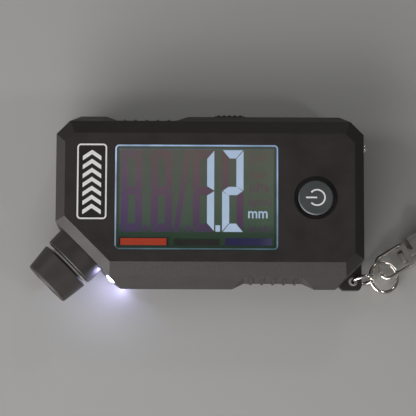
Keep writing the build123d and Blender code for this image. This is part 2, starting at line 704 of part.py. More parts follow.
def slide_carriage():
    x = (CARRIAGE_LOW_X, CARRIAGE_HIGH_X)
    body = block(x, (CARRIAGE_LOW_Y, CARRIAGE_HIGH_Y), (CARRIAGE_LOW_Z, CARRIAGE_HIGH_Z))
    socket = rod_x(PROBE_RADIUS, CARRIAGE_HIGH_X - 4.0, CARRIAGE_HIGH_X + 1, PROBE_Y, MID_Z)
    clip = block(
        (PAD_CENTRE_X - PAD_NECK_LENGTH / 2, PAD_CENTRE_X + PAD_NECK_LENGTH / 2),
        (CARRIAGE_HIGH_Y - 1.2, CARRIAGE_HIGH_Y + 1),
        (MID_Z - PAD_NECK_HEIGHT / 2, MID_Z + PAD_NECK_HEIGHT / 2),
    )
    return body - socket - clip


def thumb_slider():
    low_z, high_z = PAD_LOW_Z, MID_Z - SLIDE_GAP
    inner_y = TRACK_FLOOR_Y + PAD_LIFT
    outer_y = SIDE_Y + PAD_PROUD
    ramp = 1.3
    points = [
        (PAD_LOW_X, inner_y),
        (PAD_HIGH_X, inner_y),
        (PAD_HIGH_X, SIDE_Y - 0.3),
        (PAD_HIGH_X - ramp, outer_y),
        (PAD_LOW_X + ramp, outer_y),
        (PAD_LOW_X, SIDE_Y - 0.3),
    ]
    pad = Pos(0, 0, low_z) * extrude(make_face(Polyline(*points, close=True)), high_z - low_z)
    for index in range(PAD_RIBS):
        x = PAD_CENTRE_X + (index - (PAD_RIBS - 1) / 2) * PAD_RIB_PITCH
        pad += block((x - 0.35, x + 0.35), (outer_y - 0.2, outer_y + PAD_RIB_HEIGHT), (low_z, high_z))
    neck = block(
        (PAD_CENTRE_X - PAD_NECK_LENGTH / 2, PAD_CENTRE_X + PAD_NECK_LENGTH / 2),
        (CARRIAGE_HIGH_Y - 1.2, inner_y + 0.1),
        (MID_Z - PAD_NECK_HEIGHT / 2, MID_Z + PAD_NECK_HEIGHT / 2),
    )
    return pad + neck


def scale_reader():
    x = (CARRIAGE_LOW_X + 1, CARRIAGE_HIGH_X - 1)
    y = (CARRIAGE_LOW_Y + 0.5, CARRIAGE_HIGH_Y - 0.5)
    return block(x, y, (CARRIAGE_HIGH_Z, CARRIAGE_HIGH_Z + READER_THICKNESS))


def scale_strip():
    x = (CARRIAGE_LOW_X - 2, CARRIAGE_HIGH_X + TRAVEL_OUT)
    y = (CARRIAGE_LOW_Y + 0.3, SIDE_Y - 6.6)
    return block(x, y, (CARRIAGE_HIGH_Z + READER_THICKNESS + READER_GAP, BOARD_Z))


def probe_bush():
    low_x, high_x = END_X - WALL - BUSH_LENGTH, END_X - WALL
    bush = rod_x(BUSH_RADIUS - 0.02, low_x + 0.02, high_x - 0.02, PROBE_Y, MID_Z)
    return bush - rod_x(PROBE_RADIUS + RUNNING, low_x - 1, high_x + 1, PROBE_Y, MID_Z)


def drag_spring():
    """Bowed leaf that presses on the wall and holds the slider where it is left."""
    span = CARRIAGE_LENGTH * 0.7
    rise = TRACK_FLOOR_Y - WALL - CARRIAGE_HIGH_Y - 0.8
    low_x = PAD_CENTRE_X - span / 2
    outer = ThreePointArc((low_x, 0), (PAD_CENTRE_X, rise), (low_x + span, 0))
    inner = ThreePointArc((low_x + span, -0.2), (PAD_CENTRE_X, rise - 0.2), (low_x, -0.2))
    sides = [Line(outer @ 1, inner @ 0), Line(inner @ 1, outer @ 0)]
    leaf = extrude(make_face([outer, sides[0], inner, sides[1]]), 1.6)
    return Pos(0, CARRIAGE_HIGH_Y + 0.22, CARRIAGE_LOW_Z + 0.1) * leaf


# ---- power ------------------------------------------------------------------------------------
def cell(direction, y):
    """One cell: can and raised contact, with the contact towards +X when direction is 1."""
    can = disc(CELL_RADIUS, 0, CELL_LENGTH - 0.9)
    can = chamfer(can.faces().sort_by(Axis.Z)[-1].edges(), 0.5)
    solid = can + disc(1.9, CELL_LENGTH - 1.2, CELL_LENGTH)
    if direction > 0:
        return Pos(BAY_HIGH_X - CONTACT_THICKNESS - CELL_LENGTH, y, CELL_Z) * Rot(0, 90, 0) * solid
    return Pos(BAY_LOW_X + CONTACT_THICKNESS + CELL_LENGTH, y, CELL_Z) * Rot(0, -90, 0) * solid


def battery_cells():
    return Compound(children=[cell(1, CELL_PITCH / 2), cell(-1, -CELL_PITCH / 2)])


def battery_contacts():
    plates = []
    for x in (BAY_LOW_X, BAY_HIGH_X - CONTACT_THICKNESS):
        for y in (-CELL_PITCH / 2, CELL_PITCH / 2):
            low_z, high_z = CELL_Z - 4.2, CELL_Z + 4.2
            plates.append(block((x, x + CONTACT_THICKNESS), (y - 4.2, y + 4.2), (low_z, high_z)))
    return Compound(children=plates)


def battery_springs():
    springs = []
    wire = 0.25
    height = CELL_SPRING_LENGTH - 2 * wire - 0.04
    for x, y, turn in (
        (BAY_LOW_X + CONTACT_THICKNESS, CELL_PITCH / 2, 90),
        (BAY_HIGH_X - CONTACT_THICKNESS, -CELL_PITCH / 2, -90),
    ):
        coil = Helix(height / 3.5, height, 3.4, cone_angle=-18)
        section = Plane(origin=coil @ 0, z_dir=coil % 0) * Circle(wire)
        spring = sweep(section, path=coil, is_frenet=True)
        springs.append(Pos(x, y, CELL_Z) * Rot(0, turn, 0) * Pos(0, 0, wire + 0.02) * spring)
    return Compound(children=springs)


# ---- key rings and clasp ----------------------------------------------------------------------
def link_small():
    return Pos(*SMALL_RING_CENTRE) * Rot(0, 0, SMALL_RING_HEADING) * Rot(90 - SMALL_RING_LEAN, 0, 0) * Torus(
        SMALL_RING_RADIUS, WIRE_RADIUS
    )


def link_large():
    ring = Torus(LARGE_RING_RADIUS, WIRE_RADIUS)
    return Pos(*LARGE_RING_CENTRE) * Rot(0, 0, SMALL_RING_HEADING) * Rot(0, LARGE_RING_TILT, 0) * ring


def swivel_bail():
    plate = extrude(RectangleRounded(BAIL_PLATE_WIDTH, BAIL_PLATE_HEIGHT, BAIL_PLATE_CORNER), BAIL_PLATE)
    half = BAIL_HALF_WIDTH
    route = FilletPolyline(
        (half, 0, 0.9), (half, 0, -BAIL_LENGTH), (-half, 0, -BAIL_LENGTH), (-half, 0, 0.9), radius=BAIL_CORNER
    )
    section = Plane(origin=route @ 0, z_dir=route % 0) * Circle(WIRE_RADIUS)
    wire = Rot(-BAIL_BEND, 0, 0) * sweep(section, path=route)
    hole = disc(STUD_RADIUS + 0.07, -1, BAIL_PLATE + 1)
    return clasp_frame * (plate + wire - hole)


def swivel_stud():
    shank = disc(STUD_RADIUS, -0.6, HOOK_START + 3.0)
    return clasp_frame * (shank + disc(STUD_HEAD_RADIUS, -1.2, -0.1))


def stadium(width, low, high):
    """Flat stadium in the clasp's X-Z plane, as a face in X-Y."""
    length = high - low
    return Pos(0, (low + high) / 2) * SlotOverall(length, width, rotation=90)


def clasp_hook():
    barrel = extrude(RectangleRounded(HOOK_BARREL_WIDTH, HOOK_BARREL_HEIGHT, 2.4), HOOK_BARREL_LENGTH)
    barrel = Pos(0, 0, HOOK_START) * barrel
    barrel -= disc(STUD_RADIUS + 0.01, 0, HOOK_START + 3.0)
    low = HOOK_START + HOOK_BARREL_LENGTH - 1.6
    inner_width = HOOK_WIDTH - 2 * HOOK_BAR
    loop = stadium(HOOK_WIDTH, low, HOOK_END) - stadium(inner_width, low + 3.4, HOOK_END - HOOK_BAR)
    body = Rot(90, 0, 0) * (Pos(0, 0, -HOOK_THICKNESS / 2) * extrude(loop, HOOK_THICKNESS))
    half = HOOK_THICKNESS / 2
    opening_x = (inner_width / 2 - 0.5, HOOK_WIDTH)
    body -= block(opening_x, (-half - 1, half + 1), (GATE_START + 2.0, GATE_TIP + 0.1))
    slot = GATE_THICKNESS / 2 + 0.1
    knuckle_x = HOOK_WIDTH / 2 - HOOK_BAR / 2
    body += Pos(knuckle_x, 0, GATE_START) * Rot(90, 0, 0) * disc(2.1, -half, half)
    body -= block((knuckle_x - 2.2, HOOK_WIDTH), (-slot, slot), (GATE_START - 2.2, GATE_START + 3.0))
    body -= Pos(knuckle_x, 0, GATE_START) * Rot(90, 0, 0) * disc(GATE_PIN_RADIUS + 0.01, -half - 1, half + 1)
    return clasp_frame * (barrel + body)


def clasp_gate():
    knuckle_x = HOOK_WIDTH / 2 - HOOK_BAR / 2
    half = GATE_THICKNESS / 2
    bar = block((knuckle_x - 1.1, knuckle_x + 1.1), (-half, half), (GATE_START, GATE_TIP))
    bar += Pos(knuckle_x, 0, GATE_START) * Rot(90, 0, 0) * disc(1.9, -half, half)
    bar += block((knuckle_x + 0.9, knuckle_x + 2.3), (-half, half), (GATE_START + 4.0, GATE_START + 6.6))
    bar -= Pos(knuckle_x, 0, GATE_START) * Rot(90, 0, 0) * disc(GATE_PIN_RADIUS + RUNNING, -9, 9)
    return clasp_frame * bar


def gate_pin():
    knuckle_x = HOOK_WIDTH / 2 - HOOK_BAR / 2
    half = HOOK_THICKNESS / 2
    return clasp_frame * (Pos(knuckle_x, 0, GATE_START) * Rot(90, 0, 0) * disc(GATE_PIN_RADIUS, -half, half))


PIECES = {
    "front_cover": front_cover,
    "rear_cover": rear_cover,
    "battery_door": battery_door,
    "badge_plate": badge_plate,
    "case_screws": case_screws,
    "display_lens": display_lens,
    "lcd_glass": lcd_glass,
    "lcd_backlight": lcd_backlight,
    "lcd_connector": lcd_connector,
    "circuit_board": circuit_board,
    "controller_chip": controller_chip,
    "tact_switch": tact_switch,
    "switch_plunger": switch_plunger,
    "power_button": power_button,
    "pressure_sensor": pressure_sensor,
    "air_tube": air_tube,
    "lamp": lamp,
    "chuck_base": chuck_base,
    "chuck_nut": chuck_nut,
    "chuck_ring": chuck_ring,
    "chuck_head": chuck_head,
    "valve_seal": valve_seal,
    "core_depressor": core_depressor,
    "depth_probe": depth_probe,
    "slide_carriage": slide_carriage,
    "thumb_slider": thumb_slider,
    "scale_reader": scale_reader,
    "scale_strip": scale_strip,
    "probe_bush": probe_bush,
    "drag_spring": drag_spring,
    "battery_cells": battery_cells,
    "battery_contacts": battery_contacts,
    "battery_springs": battery_springs,
    "link_small": link_small,
    "link_large": link_large,
    "swivel_bail": swivel_bail,
    "swivel_stud": swivel_stud,
    "clasp_hook": clasp_hook,
    "clasp_gate": clasp_gate,
    "gate_pin": gate_pin,
}

os.makedirs("parts", exist_ok=True)
for name, make in PIECES.items():
    export_step(make(), f"parts/{name}.step")
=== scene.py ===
import math

import bpy
from bpy.props import FloatProperty, FloatVectorProperty, PointerProperty
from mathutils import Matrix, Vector


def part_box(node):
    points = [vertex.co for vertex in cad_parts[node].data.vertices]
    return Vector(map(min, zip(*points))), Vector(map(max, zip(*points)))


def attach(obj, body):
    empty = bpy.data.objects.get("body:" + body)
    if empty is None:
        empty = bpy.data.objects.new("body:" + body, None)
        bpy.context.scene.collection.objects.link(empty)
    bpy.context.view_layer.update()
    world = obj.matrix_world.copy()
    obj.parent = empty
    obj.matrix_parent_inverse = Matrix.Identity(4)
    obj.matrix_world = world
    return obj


bl_info = {
    "name": "Pocket Tyre Gauge",
    "version": (1, 0, 0),
    "blender": (4, 5, 0),
    "location": "View3D > Sidebar > Tyre Gauge",
    "description": "Builds the finished pieces, printed marks and materials of a pocket tyre gauge",
    "category": "Object",
}

MM = 0.001
LIFT = 0.01 * MM  # gap between neighbouring layers of display print
EVEN = ((0.0, (1, 1, 1)), (1.0, (1, 1, 1)))  # no change of tint from side to side
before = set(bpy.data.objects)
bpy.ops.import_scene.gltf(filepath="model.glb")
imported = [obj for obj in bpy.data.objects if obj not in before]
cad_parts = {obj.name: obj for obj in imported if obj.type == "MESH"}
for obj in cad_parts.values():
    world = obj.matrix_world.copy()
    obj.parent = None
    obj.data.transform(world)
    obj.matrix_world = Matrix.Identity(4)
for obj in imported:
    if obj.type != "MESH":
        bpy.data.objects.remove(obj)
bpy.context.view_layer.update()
lens_low, lens_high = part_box("display_lens")
glass_low, glass_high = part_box("lcd_glass")
button_low, button_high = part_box("power_button")
badge_low, badge_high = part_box("badge_plate")
lamp_low, lamp_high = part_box("lamp")
lens_centre = (lens_low + lens_high) / 2


def size(name, description, default):
    """Length property in metres."""
    return FloatProperty(name=name, description=description, default=default, unit="LENGTH", precision=5)


def colour(name, description, default):
    """Colour property."""
    return FloatVectorProperty(
        name=name, description=description, default=default, subtype="COLOR", size=3, min=0.0, max=1.0
    )


class GaugeDisplay(bpy.types.PropertyGroup):
    """Sizes and colours of the display's segments and bars, and widths of the painted highlights along the
    lens's and the window's edges.
    """

    digit_width: size("Digit width", "Width of one seven-segment digit", 5.75 * MM)
    digit_height: size("Digit height", "Height of one seven-segment digit", 22.3 * MM)
    post: size("Post width", "Width of an upright segment", 2.0 * MM)
    rail: size("Rail width", "Width of a level segment", 2.25 * MM)
    parting: size("Parting", "Dark gap between neighbouring segments", 0.17 * MM)
    film: size("Print thickness", "Thickness of the display's print", 0.03 * MM)
    # The next three widths are of painted highlights: glowing thin frames that stand in for the display's
    # light piped by the lens's edge and the window's edge.
    rim: size("Rim line", "Width of the bright line along the lens's edge", 0.42 * MM)
    band: size("Rim band", "Width of the dim band inside the bright line", 0.8 * MM)
    window_highlight: size("Window line", "Width of the line along the window under the lens", 0.26 * MM)
    lit: colour("Lit", "Colour of the lit segments", (0.385, 0.485, 0.625))
    red: colour("Low bar", "Colour of the lit bar", (0.31, 0.026, 0.005))


class GaugeMarks(bpy.types.PropertyGroup):
    """Sizes and colours of the printed badge and button symbol."""

    border: size("Border line", "Width of the badge's printed border", 0.42 * MM)
    chevron: size("Chevron line", "Width of the badge's tread chevrons", 1.2 * MM)
    symbol_radius: size("Symbol radius", "Radius of the power symbol", 2.1 * MM)
    symbol_line: size("Symbol line", "Width of the power symbol's strokes", 0.42 * MM)
    symbol_film: size("Symbol print", "Thickness of the power symbol's print", 0.02 * MM)
    badge_film: size("Badge print", "Thickness of the badge's print", 0.015 * MM)
    ink: colour("Ink", "Colour of the printed marks", (0.80, 0.80, 0.80))


class GaugeCase(bpy.types.PropertyGroup):
    """Colours of the moulded and metal parts."""

    plastic: colour("Case plastic", "Colour of the case", (0.021, 0.0175, 0.0165))
    button: colour("Button plastic", "Colour of the button", (0.062, 0.070, 0.072))
    chrome: colour("Plating", "Colour of the plated chain", (0.74, 0.71, 0.67))


# ---- helpers ------------------------------------------------------------------------------------
def clear_selection():
    """Leaves nothing selected, in object mode."""
    if bpy.context.object and bpy.context.object.mode != "OBJECT":
        bpy.ops.object.mode_set(mode="OBJECT")
    bpy.ops.object.select_all(action="DESELECT")


def place(shape):
    """Moves an object's place, turn and scale into its mesh."""
    clear_selection()
    shape.select_set(True)
    bpy.context.view_layer.objects.active = shape
    bpy.ops.object.transform_apply(location=True, rotation=True, scale=True)
    return shape


def joined(shapes, name):
    """Joins shapes into one mesh with its place in it."""
    for shape in shapes:
        place(shape)
    clear_selection()
    for shape in shapes:
        shape.select_set(True)
    bpy.context.view_layer.objects.active = shapes[0]
    if len(shapes) > 1:
        bpy.ops.object.join()
    whole = bpy.context.object
    whole.name = name
    whole.data.name = name
    return whole


def thicken(height):
    """Gives the active flat mesh a thickness upwards."""
    bpy.ops.object.mode_set(mode="EDIT")
    bpy.ops.mesh.select_all(action="SELECT")
    bpy.ops.mesh.extrude_region_move(TRANSFORM_OT_translate={"value": (0, 0, height)})
    bpy.ops.mesh.select_all(action="SELECT")
    bpy.ops.mesh.normals_make_consistent(inside=False)
    bpy.ops.object.mode_set(mode="OBJECT")


def pick(shape, test):
    """Selects the vertices that pass a test, and leaves the shape in edit mode."""
    bpy.ops.object.mode_set(mode="EDIT")
    bpy.ops.mesh.select_all(action="DESELECT")
    bpy.ops.object.mode_set(mode="OBJECT")
    for vertex in shape.data.vertices:
        vertex.select = test(vertex)
    bpy.ops.object.mode_set(mode="EDIT")


def flat_outline(points, low, height):
    """Thin flat plate: a filled circle's corners are moved to an outline's points, then it is extruded."""
    clear_selection()
    bpy.ops.mesh.primitive_circle_add(vertices=len(points), radius=MM, fill_type="NGON")
    plate = bpy.context.object
    corners = [vertex.co.copy() for vertex in plate.data.vertices]
    for index, (corner, point) in enumerate(zip(corners, points)):
        pick(plate, lambda vertex, wanted=index: vertex.index == wanted)
        bpy.ops.transform.translate(value=(point[0] - corner.x, point[1] - corner.y, low - corner.z))
    bpy.ops.object.mode_set(mode="OBJECT")
    thicken(height)
    return plate


def rounded_frame(width, height, corner, line, centre, film):
    """Thin flat frame with rounded corners, from its outer size and its line's width."""
    clear_selection()
    bpy.ops.mesh.primitive_plane_add(size=1.0)
    ring = bpy.context.object
    ring.scale = (width, height, 1.0)
    place(ring)
    bpy.ops.object.mode_set(mode="EDIT")
    bpy.ops.mesh.select_all(action="SELECT")
    bpy.ops.mesh.bevel(offset=corner, segments=8, affect="VERTICES")
    bpy.ops.mesh.select_all(action="SELECT")
    bpy.ops.mesh.inset(thickness=line, depth=0.0)
    bpy.ops.mesh.delete(type="FACE")
    bpy.ops.object.mode_set(mode="OBJECT")
    thicken(film)
    ring.location = centre
    return ring


def open_ring(radius, line, centre, height, gap, facing):
    """Thin flat ring, open by an angle towards a heading."""
    clear_selection()
    bpy.ops.mesh.primitive_plane_add(size=line, location=(radius, 0, 0))
    ring = place(bpy.context.object)
    pick(ring, lambda vertex: vertex.co.y > 0)
    bpy.ops.mesh.delete(type="VERT")
    bpy.ops.mesh.select_all(action="SELECT")
    bpy.ops.transform.translate(value=(0, line / 2, 0))
    bpy.ops.mesh.spin(steps=72, angle=2 * math.pi - gap, center=(0, 0, 0), axis=(0, 0, 1))
    bpy.ops.mesh.select_all(action="SELECT")
    bpy.ops.mesh.remove_doubles(threshold=1e-7)
    bpy.ops.object.mode_set(mode="OBJECT")
    thicken(height)
    middle = sum((vertex.co for vertex in ring.data.vertices), Vector()) / len(ring.data.vertices)
    ring.rotation_euler.z = facing + math.pi - math.atan2(middle.y, middle.x)
    ring.location = centre
    return ring


def rectangle(x, y, width, height, low, film):
    """Thin flat rectangle from its centre and size."""
    left, right = x - width / 2, x + width / 2
    foot, head = y - height / 2, y + height / 2
    return flat_outline(((left, foot), (right, foot), (right, head), (left, head)), low, film)


def flat_words(words, left, base, width, rise, low, film):
    """Unit word as a thin flat mesh, from its left foot, its width and its small letters' height."""
    small_letters = 0.5  # their height as a share of the font's size
    boldness = 0.02
    clear_selection()
    bpy.ops.object.text_add()
    text = bpy.context.object
    text.data.body = words
    text.data.size = rise / small_letters
    text.data.extrude = film / 2
    text.data.offset = rise * boldness
    text.data.resolution_u = 3
    bpy.ops.object.convert(target="MESH")
    text = bpy.context.object
    spots = [vertex.co.x for vertex in text.data.vertices]
    text.scale.x = width / (max(spots) - min(spots))
    text.location = (left - min(spots) * text.scale.x, base, low + film / 2)
    return text


def finished(piece, body, material):
    """Gives a piece its material and the body that carries it."""
    piece.data.materials.clear()
    piece.data.materials.append(material)
    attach(piece, body)


# ---- materials ----------------------------------------------------------------------------------
NOISE_LOW, NOISE_HIGH = 0.3, 0.7  # most of a noise pattern lies between these


class Shader:
    """Small node tree with one Principled shader and patterns on object coordinates."""

    def __init__(self, name):
        self.material = bpy.data.materials.new(name)
        self.material.use_nodes = True
        self.tree = self.material.node_tree
        self.shader = self.tree.nodes["Principled BSDF"]
        self.coords = self.tree.nodes.new("ShaderNodeTexCoord")

    def set(self, **values):
        """Sets constants on the shader's own sockets."""
        for name, value in values.items():
            self.shader.inputs[name.replace("_", " ")].default_value = value

    def node(self, kind, **settings):
        """Adds a node with its settings."""
        made = self.tree.nodes.new(kind)
        for name, value in settings.items():
            setattr(made, name, value)
        return made

    def link(self, source, target):
        """Joins two sockets."""
        self.tree.links.new(source, target)

    def noise(self, scale, detail, stretch=(1, 1, 1)):
        """Noise pattern on object coordinates; the scale is in cells a metre."""
        mapping = self.node("ShaderNodeMapping")
        mapping.inputs["Scale"].default_value = stretch
        self.link(self.coords.outputs["Object"], mapping.inputs["Vector"])
        noise = self.node("ShaderNodeTexNoise")
        noise.inputs["Scale"].default_value = scale
        noise.inputs["Detail"].default_value = detail
        self.link(mapping.outputs["Vector"], noise.inputs["Vector"])
        return noise.outputs["Fac"]

    def stops(self, value, places):
        """Colour that follows a value through (place, colour) pairs."""
        ramp = self.node("ShaderNodeValToRGB")
        while len(ramp.color_ramp.elements) < len(places):
            ramp.color_ramp.elements.new(0.5)
        for element, (position, rgb) in zip(ramp.color_ramp.elements, places):
            element.position = position
            element.color = (*rgb, 1)
        self.link(value, ramp.inputs["Fac"])
        return ramp.outputs["Color"]

    def ramp(self, value, low, high):
        """Two colours blended over the middle of a noise pattern's range."""
        return self.stops(value, ((NOISE_LOW, low), (NOISE_HIGH, high)))

    def spread(self, value, low, high):
        """A noise pattern's middle range stretched between two numbers."""
        span = self.node("ShaderNodeMapRange")
        span.inputs["From Min"].default_value = NOISE_LOW
        span.inputs["From Max"].default_value = NOISE_HIGH
        span.inputs["To Min"].default_value = low
        span.inputs["To Max"].default_value = high
        self.link(value, span.inputs["Value"])
        return span.outputs["Result"]

    def multiply(self, first, second):
        """Two colours multiplied."""
        mix = self.node("ShaderNodeMix", data_type="RGBA", blend_type="MULTIPLY")
        mix.inputs["Factor"].default_value = 1.0
        self.link(first, mix.inputs[6])
        self.link(second, mix.inputs[7])
        return mix.outputs[2]

    def bump(self, height, distance, strength):
        """Raises the surface by a pattern."""
        bump = self.node("ShaderNodeBump")
        bump.inputs["Distance"].default_value = distance
        bump.inputs["Strength"].default_value = strength
        self.link(height, bump.inputs["Height"])
        self.link(bump.outputs["Normal"], self.shader.inputs["Normal"])

    def base(self, output):
        """Drives the base colour."""
        self.link(output, self.shader.inputs["Base Color"])

    def rough(self, output):
        """Drives the roughness."""
        self.link(output, self.shader.inputs["Roughness"])


def shade(rgb, factor):
    """Colour made darker or lighter."""
    return tuple(min(1.0, channel * factor) for channel in rgb)


def moulded(name, rgb, roughness=0.55, grain=2100.0, depth=0.00016, variation=0.14):
    """Moulded plastic with a fine spark-eroded grain and faint handling marks."""
    made = Shader(name)
    fine = made.noise(grain, 2.0)
    soft = made.noise(180.0, 5.0)
    made.base(made.ramp(soft, shade(rgb, 1 - variation), shade(rgb, 1 + variation)))
    made.rough(made.spread(soft, roughness - 0.05, roughness + 0.07))
    made.bump(fine, depth, 0.35)
    made.set(IOR=1.5)
    return made.material


def metal(name, rgb, roughness=0.12, stretch=(1, 1, 1), scale=900.0, depth=0.00001):
    """Metal with fine polishing marks."""
    made = Shader(name)
    marks = made.noise(scale, 6.0, stretch)
    made.set(Metallic=1.0)
    made.base(made.ramp(marks, shade(rgb, 0.88), shade(rgb, 1.06)))
    made.rough(made.spread(marks, max(0.02, roughness - 0.05), roughness + 0.08))
    made.bump(marks, depth, 0.2)
    return made.material


def printed(name, rgb, glow):
    """Printed ink or lit plastic with a slight mottling and a glow of its own; on the lamp the glow is the
    lamp's light, on printed ink it is a faint painted glow.
    """
    made = Shader(name)
    mottle = made.noise(1400.0, 3.0)
    made.base(made.ramp(mottle, shade(rgb, 0.92), shade(rgb, 1.04)))
    made.rough(made.spread(mottle, 0.4, 0.55))
    made.set(Emission_Color=(*rgb, 1), Emission_Strength=glow)
    return made.material


def clear(name, tint):
    """Clear plastic with a faintly uneven tint."""
    made = Shader(name)
    made.base(made.ramp(made.noise(60.0, 4.0), shade(tint, 0.985), tint))
    made.set(Transmission_Weight=1.0, IOR=1.36, Roughness=0.0)
    return made.material


def glowing(name, columns, rows, gloss, mottle):
    """Dim glowing layer whose glow changes from side to side and from foot to head of the lens; used for the
    display's own backlit layers and for the painted highlights along the lens's and the window's edges.
    """
    made = Shader(name)
    split = made.node("ShaderNodeSeparateXYZ")
    made.link(made.coords.outputs["Object"], split.inputs["Vector"])
    tints = []
    for index, (axis, places) in enumerate((("X", columns), ("Y", rows))):
        along = made.node("ShaderNodeMapRange")
        along.inputs["From Min"].default_value = lens_low[index]
        along.inputs["From Max"].default_value = lens_high[index]
        made.link(split.outputs[axis], along.inputs["Value"])
        tints.append(made.stops(along.outputs["Result"], places))
    clouds = made.ramp(made.noise(110.0, 3.0), (1 - mottle,) * 3, (1 + mottle,) * 3)
    made.link(made.multiply(made.multiply(*tints), clouds), made.shader.inputs["Emission Color"])
    made.set(Base_Color=(0.006, 0.006, 0.006, 1), Emission_Strength=1.0, Specular_IOR_Level=0.2)
    made.rough(made.spread(made.noise(900.0, 2.0), gloss - 0.05, gloss + 0.05))
    return made.material


def lit(name, rgb):
    """Lit segment: even glow over a dark base."""
    made = Shader(name)
    made.set(Base_Color=(0.02, 0.02, 0.02, 1), Emission_Strength=1.0)
    glow = made.ramp(made.noise(420.0, 2.0), shade(rgb, 0.96), shade(rgb, 1.03))
    made.link(glow, made.shader.inputs["Emission Color"])
    made.rough(made.spread(made.noise(900.0, 2.0), 0.35, 0.5))
    return made.material


def wear(node, material):
    """Puts a material on every slot of a CAD node."""
    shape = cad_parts[node]
    if not shape.material_slots:
        shape.data.materials.append(material)
    for slot in shape.material_slots:
        slot.material = material


# ---- pieces -------------------------------------------------------------------------------------
class GAUGE_OT_case(bpy.types.Operator):
    """Finishes the covers, the battery door, the thumb slider, the screws and the probe"""

    bl_idname = "gauge.case"
    bl_label = "Case"

    def execute(self, context):
        plastic = moulded("case_plastic", context.scene.gauge_case.plastic)
        for node in ("front_cover", "rear_cover", "battery_door", "thumb_slider"):
            wear(node, plastic)
        wear("case_screws", metal("zinc_screws", (0.50, 0.50, 0.50), 0.35))
        wear("depth_probe", metal("polished_probe", (0.75, 0.75, 0.75), stretch=(1, 12, 12)))
        return {"FINISHED"}


class GAUGE_OT_inside(bpy.types.Operator):
    """Finishes the pieces inside the case"""

    bl_idname = "gauge.inside"
    bl_label = "Inside"

    def execute(self, context):
        green = (0.02, 0.18, 0.08)
        board = moulded("solder_mask", green, roughness=0.3, grain=2600.0, depth=0.00002, variation=0.2)
        chip = moulded("chip_black", (0.018, 0.018, 0.018), 0.5)
        white = moulded("white_plastic", (0.72, 0.72, 0.69), 0.45)
        rubber = moulded("black_rubber", (0.016, 0.016, 0.016), 0.8)
        brass = metal("turned_brass", (0.72, 0.55, 0.22), 0.25, stretch=(1, 1, 8))
        spring = metal("spring_steel", (0.58, 0.58, 0.58), 0.25)
        silicone = moulded("silicone", (0.62, 0.62, 0.58), 0.5)
        cell = moulded("cell_sleeve", (0.45, 0.30, 0.08), 0.25)
        looks = {
            "circuit_board": board,
            "scale_reader": board,
            "scale_strip": board,
            "controller_chip": chip,
            "tact_switch": chip,
            "pressure_sensor": chip,
            "switch_plunger": white,
            "slide_carriage": white,
            "lcd_backlight": white,
            "lcd_connector": rubber,
            "valve_seal": rubber,
            "air_tube": silicone,
            "battery_cells": cell,
            "battery_contacts": spring,
            "battery_springs": spring,
            "drag_spring": spring,
            "chuck_nut": brass,
            "core_depressor": brass,
            "probe_bush": brass,
        }
        for node, material in looks.items():
            wear(node, material)
        return {"FINISHED"}


